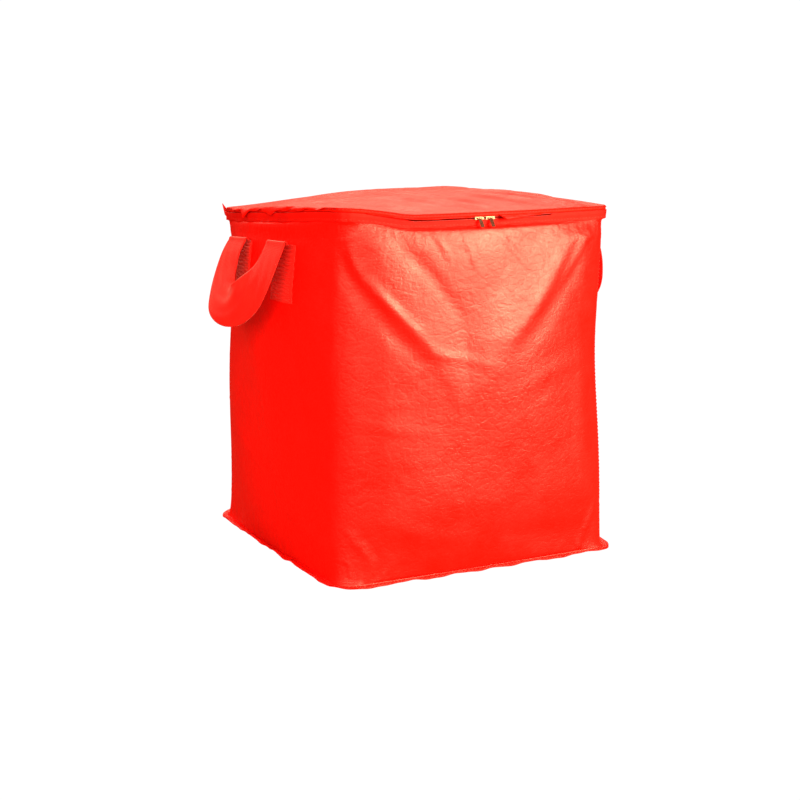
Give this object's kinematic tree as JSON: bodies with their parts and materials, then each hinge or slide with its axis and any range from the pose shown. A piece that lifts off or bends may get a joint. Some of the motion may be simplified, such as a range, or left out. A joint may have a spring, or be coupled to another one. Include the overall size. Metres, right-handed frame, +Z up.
{
  "type": "bulk bag",
  "caption": "Square zip-top storage bulk bag of coated woven cloth, drawn filled, with a stand-up rim band, a domed zip-off lid hinged at the back and a wide hanging grip strap on each side",
  "frame": {"origin": "on the floor under the middle of the base", "axes": "+Z up, the front with the two zip sliders faces -Y, left is -X"},
  "size_m": [0.8644, 0.6932, 0.7405],
  "materials": {
    "coated_cloth": "smooth coated weave, soft sheen",
    "trim_cloth": "satin bias tape",
    "webbing": "ribbed webbing, matte",
    "thread": "polyester sewing thread",
    "zip_plastic": "moulded coil teeth",
    "zip_metal": "pale plated cast metal"
  },
  "bodies": {
    "bag": {"wall_panel_front_left": "coated_cloth", "wall_panel_back_right": "coated_cloth", "base_panel": "coated_cloth", "base_seam_thread": "thread", "corner_seam_thread_back_left": "thread", "corner_seam_thread_front_right": "thread", "rim_band": "trim_cloth", "rim_band_thread": "thread", "lid_hinge_strip": "trim_cloth", "zip_tape_lower": "trim_cloth", "zip_teeth_lower": "zip_plastic", "zip_stop_left": "zip_metal", "zip_stop_right": "zip_metal", "handle_leg_left_front": "webbing", "handle_leg_left_back": "webbing", "handle_leg_right_front": "webbing", "handle_leg_right_back": "webbing", "leg_stitching_left_front": "thread", "leg_stitching_left_back": "thread", "leg_stitching_right_front": "thread", "leg_stitching_right_back": "thread"},
    "lid": {"lid_panel": "coated_cloth", "lid_hem": "trim_cloth", "lid_hem_thread": "thread", "zip_tape_upper": "trim_cloth", "zip_teeth_upper": "zip_plastic", "zip_flap_left": "coated_cloth"},
    "flap": {"zip_flap_right": "coated_cloth"},
    "slider_left": {"zip_slider_left": "zip_metal"},
    "slider_right": {"zip_slider_right": "zip_metal"},
    "pull_left": {"zip_pull_left": "zip_metal"},
    "pull_right": {"zip_pull_right": "zip_metal"},
    "handle_left": {"handle_loop_left": "webbing"},
    "handle_right": {"handle_loop_right": "webbing"}
  },
  "joints": [
    {"name": "lid_hinge", "type": "hinge", "parent": "bag", "child": "lid", "pos_m": [0, 0.3241, 0.7147], "axis": [-1, 0, 0], "range_deg": [0, 180]},
    {"name": "flap_hinge", "type": "hinge", "parent": "lid", "child": "flap", "pos_m": [0.07767, -0.32406, 0.7102], "axis": [-0.999, -0.0448, 0], "range_deg": [0, 110]},
    {"name": "slider_left_slide", "type": "slide", "parent": "bag", "child": "slider_left", "axis": [-0.9992, 0.0402, 0], "range_m": [0, 0.1]},
    {"name": "slider_right_slide", "type": "slide", "parent": "bag", "child": "slider_right", "axis": [0.9995, 0.0315, 0], "range_m": [0, 0.1]},
    {"name": "pull_left_hinge", "type": "hinge", "parent": "slider_left", "child": "pull_left", "pos_m": [-0.01949, -0.32759, 0.705], "axis": [-1, 0, 0], "range_deg": [0, 55]},
    {"name": "pull_right_hinge", "type": "hinge", "parent": "slider_right", "child": "pull_right", "pos_m": [0.0045, -0.32769, 0.705], "axis": [-1, 0, 0], "range_deg": [0, 55]},
    {"name": "handle_left_swing", "type": "hinge", "parent": "bag", "child": "handle_left", "pos_m": [-0.34405, 0, 0.647], "axis": [0, 1, 0], "range_deg": [-5, 130]},
    {"name": "handle_right_swing", "type": "hinge", "parent": "bag", "child": "handle_right", "pos_m": [0.34381, -0.035, 0.647], "axis": [0, -1, 0], "range_deg": [-5, 130]}
  ]
}
